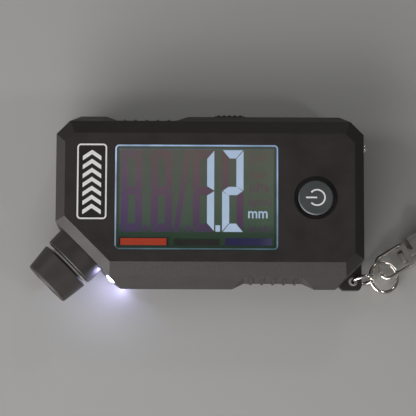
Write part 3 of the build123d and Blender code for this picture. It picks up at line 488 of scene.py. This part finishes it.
class GAUGE_OT_display(bpy.types.Operator):
    """Draws the display: digits, dots, slash, unit words and bars, under the clear lens"""

    bl_idname = "gauge.display"
    bl_label = "Display"

    # Places are in millimetres from the case's middle.
    LENS_OFFSET = 3.6  # from the lens's centre to the case's middle
    FOOT = -9.2
    DIGITS = ((-24.0, ""), (-15.9, ""), (-4.6, "bc"), (3.3, "abged"))  # left edge, lit segments
    DOT_Y = FOOT + 0.92
    LIT_DOT = (2.15, DOT_Y, 1.25, 1.75)  # centre, width, height
    DIM_DOTS = ((-17.3, DOT_Y, 1.25, 1.6), (-5.85, DOT_Y, 1.25, 1.6))
    SLASH = (-9.75, -6.6, 1.45)  # left edge at the foot and at the head, width
    LIT_UNIT = ("mm", 10.35, -5.45, 5.2, 2.05)  # word, left edge, foot, width, height of small letters
    UNITS = (
        ("psi", 11.2, 10.2, 3.9, 1.65),
        ("bar", 11.2, 5.35, 4.45, 1.7),
        ("kPa", 10.75, 1.7, 5.2, 1.7),
        ("kg/cm2", 10.4, -1.85, 6.4, 1.45),
        ("inch", 10.4, -9.3, 5.7, 1.5),
    )
    BAR_Y = -12.1
    FIELD_Y = BAR_Y - 0.05
    FIELD_HEIGHT = 3.0
    DARK_FIELD, GREEN_FIELD = (-24.7, -11.0), (-11.0, 3.4)  # left and right edges
    RED_BAR = (-17.85, BAR_Y, 12.4, 2.2)
    MIDDLE_BAR = (-3.45, BAR_Y, 12.3, 2.05)
    BLUE_BAR = (10.45, BAR_Y, 12.6, 2.4)

    # Tints across the lens, from its left edge (0) to its right edge (1).
    GLASS_COLUMNS = (
        (0.0, (0.96, 0.98, 1.12)),
        (0.12, (0.98, 1.0, 1.0)),
        (0.55, (0.93, 0.95, 0.92)),
        (1.0, (1.06, 1.08, 1.02)),
    )
    GHOST_COLUMNS = (
        (0.0, (0.95, 0.92, 1.25)),
        (0.16, (1.0, 0.92, 1.0)),
        (0.5, (1.0, 0.90, 0.92)),
        (0.8, (1.0, 0.84, 0.86)),
        (1.0, (1.08, 0.84, 0.80)),
    )
    BLUE_COLUMNS = (
        (0.0, (1, 1, 1)),
        (0.70, (0.62, 0.56, 1.0)),
        (0.88, (0.8, 0.8, 1.15)),
        (1.0, (2.2, 2.3, 1.6)),
    )
    # Painted highlights: tints of the glowing line along the lens's edge, the glow band inside it and the
    # line along the window.
    RIM_HIGHLIGHT_COLUMNS = (
        (0.0, (1.15, 1.1, 1.1)),
        (0.06, (0.9, 0.95, 1.0)),
        (0.94, (0.8, 0.9, 1.0)),
        (1.0, (0.75, 0.8, 0.9)),
    )
    RIM_GLOW_BAND_COLUMNS = (
        (0.0, (0.5, 0.6, 0.7)),
        (0.03, (0.95, 1.0, 1.1)),
        (0.97, (0.9, 1.0, 0.95)),
        (1.0, (0.5, 0.6, 0.6)),
    )
    WINDOW_HIGHLIGHT_COLUMNS = ((0.0, (1.2, 1.15, 1.1)), (0.1, (0.9, 0.95, 1.0)), (1.0, (0.7, 0.75, 0.8)))

    # Glow up the lens, from its foot (0) to its head (1).
    GLASS_ROWS = (
        (0.0, (0.012, 0.030, 0.016)),
        (0.16, (0.020, 0.040, 0.024)),
        (0.26, (0.048, 0.074, 0.052)),
        (0.5, (0.068, 0.086, 0.064)),
        (1.0, (0.088, 0.092, 0.076)),
    )
    GHOST_ROWS = (
        (0.0, (0.040, 0.028, 0.060)),
        (0.2, (0.055, 0.036, 0.078)),
        (0.45, (0.086, 0.056, 0.092)),
        (0.75, (0.106, 0.078, 0.082)),
        (1.0, (0.108, 0.086, 0.078)),
    )
    DARK_FIELD_ROWS = ((0.0, (0.008, 0.006, 0.006)), (0.12, (0.010, 0.008, 0.008)))
    GREEN_FIELD_ROWS = ((0.0, (0.008, 0.030, 0.010)), (0.12, (0.012, 0.040, 0.014)))
    MIDDLE_ROWS = ((0.0, (0.012, 0.012, 0.011)), (1.0, (0.014, 0.013, 0.012)))
    BLUE_ROWS = ((0.0, (0.022, 0.021, 0.052)), (1.0, (0.022, 0.021, 0.052)))
    # Painted highlights: glow of the lens's edge line, the band inside it and the window's line, brighter
    # towards the lens's head.
    RIM_HIGHLIGHT_ROWS = (
        (0.0, (0.05, 0.09, 0.09)),
        (0.05, (0.20, 0.26, 0.32)),
        (0.5, (0.30, 0.37, 0.48)),
        (1.0, (0.36, 0.46, 0.62)),
    )
    RIM_GLOW_BAND_ROWS = (
        (0.0, (0.012, 0.022, 0.016)),
        (0.25, (0.036, 0.056, 0.040)),
        (0.97, (0.070, 0.078, 0.066)),
        (1.0, (0.03, 0.03, 0.03)),
    )
    WINDOW_HIGHLIGHT_ROWS = ((0.0, (0.02, 0.03, 0.03)), (0.3, (0.07, 0.09, 0.10)), (1.0, (0.20, 0.25, 0.32)))

    def execute(self, context):
        self.look = context.scene.gauge_display
        self.top = glass_high[2] + LIFT
        self.centre = lens_centre[0] + self.LENS_OFFSET * MM
        wear("lcd_glass", glowing("display_glass", self.GLASS_COLUMNS, self.GLASS_ROWS, 0.35, 0.05))
        wear("display_lens", clear("lens_clear", (0.97, 0.98, 1.0)))
        self.segments()
        self.bars()
        # Painted highlights along the lens's and the window's edges.
        self.painted_rim_highlights()
        return {"FINISHED"}

    def segments(self):
        """Lit and unlit digits, dots, slash and unit words."""
        shining, dim = [], []
        for left, on in self.DIGITS:
            for key, bar in self.digit(left * MM):
                (shining if key in on else dim).append(bar)
        shining += [self.patch(*self.LIT_DOT), self.words(*self.LIT_UNIT)]
        dim += [self.patch(*dot) for dot in self.DIM_DOTS]
        dim.append(self.slash())
        dim += [self.words(*unit) for unit in self.UNITS]
        self.printed_layer(shining, "display_lit", lit("segment_lit", self.look.lit))
        ghosts = glowing("segment_unlit", self.GHOST_COLUMNS, self.GHOST_ROWS, 0.35, 0.05)
        self.printed_layer(dim, "display_unlit", ghosts)

    def printed_layer(self, shapes, name, material):
        """Joins one layer of display print into a piece."""
        finished(joined(shapes, name), "case", material)

    def patch(self, x, y, width, height):
        """Small rectangle of display print, in millimetres from the case's middle."""
        return rectangle(self.centre + x * MM, y * MM, width * MM, height * MM, self.top, self.look.film)

    def words(self, words, left, base, width, rise):
        """Unit word of display print, in millimetres from the case's middle."""
        return flat_words(
            words, self.centre + left * MM, base * MM, width * MM, rise * MM, self.top, self.look.film
        )

    def slash(self):
        """Slanted stroke between the second and third digits."""
        foot = self.FOOT * MM
        head = foot + self.look.digit_height
        low, high, wide = (value * MM for value in self.SLASH)
        corners = ((low, foot), (low + wide, foot), (high + wide, head), (high, head))
        return flat_outline([(self.centre + x, y) for x, y in corners], self.top, self.look.film)

    def digit(self, left):
        """Seven mitred segments as (letter, plate) pairs."""
        look = self.look
        low_x, high_x = self.centre + left, self.centre + left + look.digit_width
        foot = self.FOOT * MM
        head = foot + look.digit_height
        middle = (foot + head) / 2
        post, rail, gap = look.post, look.rail, look.parting
        tip = post * 0.85  # how far the middle rail's points reach in
        for key, edge, way in (("a", head, -1), ("d", foot, 1)):
            corners = (
                (low_x + gap, edge),
                (high_x - gap, edge),
                (high_x - post, edge + way * rail),
                (low_x + post, edge + way * rail),
            )
            yield key, flat_outline(corners, self.top, look.film)
        corners = (
            (low_x + gap, middle),
            (low_x + tip, middle + rail / 2),
            (high_x - tip, middle + rail / 2),
            (high_x - gap, middle),
            (high_x - tip, middle - rail / 2),
            (low_x + tip, middle - rail / 2),
        )
        yield "g", flat_outline(corners, self.top, look.film)
        slant = gap * 0.9  # gap along a mitre's slant
        for keys, edge, way in (("fe", low_x, 1), ("bc", high_x, -1)):
            inner = edge + way * (post - gap * 0.5)
            for key, far, up in ((keys[0], head, 1), (keys[1], foot, -1)):
                corners = (
                    (edge, middle + up * gap * 0.7),
                    (edge, far - up * gap),
                    (inner, far - up * (rail + slant)),
                    (inner, middle + up * (rail / 2 + slant)),
                )
                yield key, flat_outline(corners, self.top, look.film)

    def bars(self):
        """Three bars along the display's foot, with the dark and green fields round two of them."""
        fields = (
            ("bar_field_dark", self.DARK_FIELD, self.DARK_FIELD_ROWS),
            ("bar_field_green", self.GREEN_FIELD, self.GREEN_FIELD_ROWS),
        )
        for name, (left, right), rows in fields:
            field = self.patch((left + right) / 2, self.FIELD_Y, right - left, self.FIELD_HEIGHT)
            self.printed_layer([field], name, glowing(name, EVEN, rows, 0.4, 0.15))
        self.top += self.look.film + LIFT  # the bars lie on their fields
        self.printed_layer([self.patch(*self.RED_BAR)], "bar_lit", lit("bar_red", self.look.red))
        dark = glowing("bar_dark", EVEN, self.MIDDLE_ROWS, 0.4, 0.1)
        self.printed_layer([self.patch(*self.MIDDLE_BAR)], "bar_middle", dark)
        blue = glowing("bar_blue", self.BLUE_COLUMNS, self.BLUE_ROWS, 0.4, 0.1)
        self.printed_layer([self.patch(*self.BLUE_BAR)], "bar_unlit", blue)

    def painted_rim_highlights(self):
        """Painted highlights: glowing thin frames that stand in for the display's light piped by the lens's
        edge and the window's edge.
        """
        look = self.look
        top, under = lens_high[2], lens_low[2] - 0.06 * MM
        # name, its material's name, inset, corner, line, height, thickness, columns, rows, gloss, mottle
        frames = (
            (
                "painted_rim_highlight", "painted_rim_highlight_glow", 0.04, 1.1, look.rim, top, 0.012,
                self.RIM_HIGHLIGHT_COLUMNS, self.RIM_HIGHLIGHT_ROWS, 0.2, 0.35,
            ),
            (
                "painted_window_highlight", "painted_window_highlight_glow", 1.7, 0.7, look.window_highlight, under, 0.03,
                self.WINDOW_HIGHLIGHT_COLUMNS, self.WINDOW_HIGHLIGHT_ROWS, 0.3, 0.3,
            ),
            (
                "painted_rim_glow_band", "painted_rim_glow_band_glow", 0.88, 0.8, look.band, top, 0.008,
                self.RIM_GLOW_BAND_COLUMNS, self.RIM_GLOW_BAND_ROWS, 0.15, 0.1,
            ),
        )
        # Each frame is a glowing sheet of painted highlight on or just under the lens.
        for name, glow, inset, corner, line, height, film, columns, rows, gloss, mottle in frames:
            width = lens_high[0] - lens_low[0] - inset * MM
            rise = lens_high[1] - lens_low[1] - inset * MM
            centre = (lens_centre[0], lens_centre[1], height)
            ring = rounded_frame(width, rise, corner * MM, line, centre, film * MM)
            finished(joined([ring], name), "case", glowing(glow, columns, rows, gloss, mottle))


class GAUGE_OT_button(bpy.types.Operator):
    """Finishes the power button and prints its symbol"""

    bl_idname = "gauge.button"
    bl_label = "Power button"

    SYMBOL_SHIFT = 0.3 * MM  # the symbol's ring is off the button's centre
    SYMBOL_GAP = math.radians(84)
    STROKE_REACH = 1.42  # the straight stroke's length in ring radii

    def execute(self, context):
        marks = context.scene.gauge_marks
        wear("power_button", moulded("button_plastic", context.scene.gauge_case.button, 0.42))
        centre_x = (button_low[0] + button_high[0]) / 2 + self.SYMBOL_SHIFT
        centre_y = (button_low[1] + button_high[1]) / 2
        low, film = button_high[2], marks.symbol_film
        ring = open_ring(
            marks.symbol_radius, marks.symbol_line, (centre_x, centre_y, low), film, self.SYMBOL_GAP, math.pi
        )
        reach = marks.symbol_radius * self.STROKE_REACH
        bar = rectangle(centre_x - reach / 2, centre_y, reach, marks.symbol_line, low, film)
        # The symbol's ink gets a faint painted glow on top of its white.
        ink = printed("symbol_ink_painted_glow", marks.ink, 0.1)
        finished(joined([ring, bar], "button_symbol"), "power_button", ink)
        return {"FINISHED"}


class GAUGE_OT_badge(bpy.types.Operator):
    """Prints a plain border and tread chevrons on the badge"""

    bl_idname = "gauge.badge"
    bl_label = "Badge"

    CHEVRONS = 7
    PITCH = 2.45 * MM
    REACH = 2.5 * MM  # half of a chevron's width
    DROP = 1.7 * MM  # from a chevron's peak to its ends
    ROW_SHIFT = 0.2 * MM
    SIDE_MARGIN = 0.15 * MM
    END_MARGIN = 0.3 * MM
    BORDER_CORNER = 1.05 * MM

    def execute(self, context):
        marks = context.scene.gauge_marks
        look = context.scene.gauge_case
        wear("badge_plate", moulded("badge_plastic", shade(look.plastic, 0.85), 0.4))
        centre_x, centre_y = (badge_low[0] + badge_high[0]) / 2, (badge_low[1] + badge_high[1]) / 2
        top, film = badge_high[2], marks.badge_film
        width = badge_high[0] - badge_low[0] - self.SIDE_MARGIN
        height = badge_high[1] - badge_low[1] - self.END_MARGIN
        centre = (centre_x, centre_y, top)
        lines = [rounded_frame(width, height, self.BORDER_CORNER, marks.border, centre, film)]
        for index in range(self.CHEVRONS):
            middle = centre_y + (index - (self.CHEVRONS - 1) / 2) * self.PITCH - self.ROW_SHIFT
            foot = middle - self.DROP / 2 - marks.chevron / 2
            peak = foot + self.DROP
            corners = (
                (centre_x - self.REACH, foot),
                (centre_x, peak),
                (centre_x + self.REACH, foot),
                (centre_x + self.REACH, foot + marks.chevron),
                (centre_x, peak + marks.chevron),
                (centre_x - self.REACH, foot + marks.chevron),
            )
            lines.append(flat_outline(corners, top, film))
        # The badge's ink gets a faint painted glow on top of its white.
        ink = printed("badge_ink_painted_glow", marks.ink, 0.08)
        finished(joined(lines, "badge_print"), "case", ink)
        return {"FINISHED"}


class GAUGE_OT_chuck(bpy.types.Operator):
    """Finishes the valve chuck, its collar and its bright ring"""

    bl_idname = "gauge.chuck"
    bl_label = "Valve chuck"

    def execute(self, context):
        tint = shade(context.scene.gauge_case.plastic, 1.35)
        plastic = moulded("chuck_plastic", tint, roughness=0.5, grain=3000.0, depth=0.00003)
        wear("chuck_base", plastic)
        wear("chuck_head", plastic)
        wear("chuck_ring", metal("polished_ring", (0.80, 0.80, 0.80), 0.1))
        return {"FINISHED"}


class GAUGE_OT_lamp(bpy.types.Operator):
    """Lights the lamp beside the chuck"""

    bl_idname = "gauge.lamp"
    bl_label = "Lamp"

    def execute(self, context):
        wear("lamp", printed("lamp_glow", (0.80, 0.87, 1.0), 14.0))
        return {"FINISHED"}


class GAUGE_OT_chain(bpy.types.Operator):
    """Finishes the rings, the bail and the clasp in bright plating"""

    bl_idname = "gauge.chain"
    bl_label = "Key chain"

    def execute(self, context):
        chrome = context.scene.gauge_case.chrome
        plating = metal("bright_plating", chrome, roughness=0.05, scale=300.0, depth=0.00003)
        rings = ("link_small", "link_large", "swivel_bail")
        clasp = ("swivel_stud", "clasp_hook", "clasp_gate", "gate_pin")
        for node in rings + clasp:
            wear(node, plating)
        return {"FINISHED"}


class GAUGE_OT_stage(bpy.types.Operator):
    """Sets the floor, the studio lights and the camera"""

    bl_idname = "gauge.stage"
    bl_label = "Stage"

    AREAS = (  # name, place, target, width and height, power, tint
        ("key_light", (-0.58, -0.75, 0.42), (0, 0, 0.01), (1.3, 0.7), 11.0, (1.0, 0.98, 0.96)),
        ("low_light", (-0.38, -0.66, 0.07), (0, 0, 0.01), (0.7, 0.08), 4.2, (1, 1, 1)),
        ("side_light", (-0.75, 0.15, 0.45), (0, 0, 0), (0.3, 0.3), 1.5, (1, 1, 1)),
        ("glint_right", (0.55, -0.30, 0.55), (0.05, 0, 0), (0.10, 0.10), 0.55, (1, 1, 1)),
        ("glint_back", (0.25, 0.75, 0.60), (0.05, 0, 0), (0.10, 0.10), 0.55, (1, 1, 1)),
    )
    GLOWS = (  # name, place from the lamp's middle, power
        ("lamp_light", Vector((-2.1, -2.1, -1.0)) * MM, 0.0024),
        ("lamp_spill", Vector((1.2, -3.2, -7.4)) * MM, 0.00055),
    )
    LAMP_TINT = (0.58, 0.56, 1.0)
    WORLD_HEADING = math.radians(40)
    WORLD_NEAR, WORLD_FAR = (0.90, 0.88, 0.86), (0.22, 0.215, 0.21)
    WORLD_STRENGTH = 0.30
    TILT = math.radians(8.6)
    ROLL = math.radians(0.25)
    DISTANCE = 0.65
    VIEW_WIDTH = 0.1136  # what the camera sees across, at its target
    SENSOR = 36.0
    TARGET = Vector((-0.50, -1.44, 10.0)) * MM

    def execute(self, context):
        self.floor()
        self.lights(context)
        self.camera(context)
        context.scene.view_settings.view_transform = "Standard"
        return {"FINISHED"}

    def floor(self):
        """Plain pale floor."""
        clear_selection()
        bpy.ops.mesh.primitive_grid_add(x_subdivisions=8, y_subdivisions=8, size=3.0, location=(0, 0, 0))
        ground = bpy.context.object
        ground.name = "floor"
        made = Shader("floor_pale")
        made.base(made.ramp(made.noise(4.0, 3.0), (0.40, 0.40, 0.39), (0.43, 0.43, 0.42)))
        made.set(Roughness=0.6)
        ground.data.materials.append(made.material)

    def area(self, name, spot, target, sides, power, tint):
        """Rectangular soft light that points at a target."""
        clear_selection()
        bpy.ops.object.light_add(type="AREA", location=spot)
        light = bpy.context.object
        light.name = name
        light.data.shape = "RECTANGLE"
        light.data.size, light.data.size_y = sides
        light.data.energy = power
        light.data.color = tint
        aim = Vector(target) - Vector(spot)
        light.rotation_euler = aim.to_track_quat("-Z", "Y").to_euler()

    def lights(self, context):
        """Studio lights, the lamp's own light and the room round them."""
        for row in self.AREAS:
            self.area(*row)
        for name, offset, power in self.GLOWS:
            self.glow(name, (lamp_low + lamp_high) / 2 + offset, power)
        self.world(context)

    def glow(self, name, spot, power):
        """Small light that the lamp gives."""
        clear_selection()
        bpy.ops.object.light_add(type="POINT", location=spot)
        light = bpy.context.object
        light.name = name
        light.data.energy = power
        light.data.shadow_soft_size = 0.4 * MM
        light.data.color = self.LAMP_TINT

    def world(self, context):
        """Dim room, lighter on the side of the key light."""
        world = bpy.data.worlds.new("studio")
        context.scene.world = world
        world.use_nodes = True
        nodes, links = world.node_tree.nodes, world.node_tree.links
        coords = nodes.new("ShaderNodeTexCoord")
        turned = nodes.new("ShaderNodeMapping")
        turned.inputs["Rotation"].default_value = (0, 0, self.WORLD_HEADING)
        sweep = nodes.new("ShaderNodeSeparateXYZ")
        ramp = nodes.new("ShaderNodeValToRGB")
        span = nodes.new("ShaderNodeMapRange")
        span.inputs["From Min"].default_value = -1.0
        for element, rgb in zip(ramp.color_ramp.elements, (self.WORLD_NEAR, self.WORLD_FAR)):
            element.color = (*rgb, 1)
        links.new(coords.outputs["Generated"], turned.inputs["Vector"])
        links.new(turned.outputs["Vector"], sweep.inputs["Vector"])
        links.new(sweep.outputs["Y"], span.inputs["Value"])
        links.new(span.outputs["Result"], ramp.inputs["Fac"])
        links.new(ramp.outputs["Color"], nodes["Background"].inputs["Color"])
        nodes["Background"].inputs["Strength"].default_value = self.WORLD_STRENGTH

    def camera(self, context):
        """Long lens almost straight above, tilted and rolled a little."""
        tilt, roll = self.TILT, self.ROLL
        away = Vector((math.sin(tilt) * math.sin(roll), -math.sin(tilt) * math.cos(roll), math.cos(tilt)))
        clear_selection()
        bpy.ops.object.camera_add(location=self.TARGET + away * self.DISTANCE)
        camera = bpy.context.object
        camera.rotation_euler = (tilt, 0, roll)
        camera.data.sensor_width = self.SENSOR
        camera.data.lens = self.SENSOR * self.DISTANCE / self.VIEW_WIDTH
        camera.data.clip_start = 0.01
        context.scene.camera = camera


OPERATORS = (
    GAUGE_OT_case,
    GAUGE_OT_inside,
    GAUGE_OT_display,
    GAUGE_OT_button,
    GAUGE_OT_badge,
    GAUGE_OT_chuck,
    GAUGE_OT_lamp,
    GAUGE_OT_chain,
    GAUGE_OT_stage,
)
GROUPS = {"gauge_display": GaugeDisplay, "gauge_marks": GaugeMarks, "gauge_case": GaugeCase}


class GAUGE_PT_panel(bpy.types.Panel):
    """Lists the gauge's settings and steps"""

    bl_idname = "GAUGE_PT_panel"
    bl_label = "Tyre Gauge"
    bl_space_type = "VIEW_3D"
    bl_region_type = "UI"
    bl_category = "Tyre Gauge"

    def draw(self, context):
        for attribute, group in GROUPS.items():
            box = self.layout.box()
            for name in group.__annotations__:
                box.prop(getattr(context.scene, attribute), name)
        for operator in OPERATORS:
            self.layout.operator(operator.bl_idname)


def register():
    """Adds the settings, the steps and the panel."""
    for group in (*GROUPS.values(), *OPERATORS, GAUGE_PT_panel):
        bpy.utils.register_class(group)
    for attribute, group in GROUPS.items():
        setattr(bpy.types.Scene, attribute, PointerProperty(type=group))


def unregister():
    """Takes them away again."""
    for attribute in GROUPS:
        delattr(bpy.types.Scene, attribute)
    for group in reversed((*GROUPS.values(), *OPERATORS, GAUGE_PT_panel)):
        bpy.utils.unregister_class(group)


def main():
    """Builds everything in order."""
    register()
    for operator in OPERATORS:
        group, name = operator.bl_idname.split(".")
        getattr(getattr(bpy.ops, group), name)()


if __name__ == "__main__":
    main()
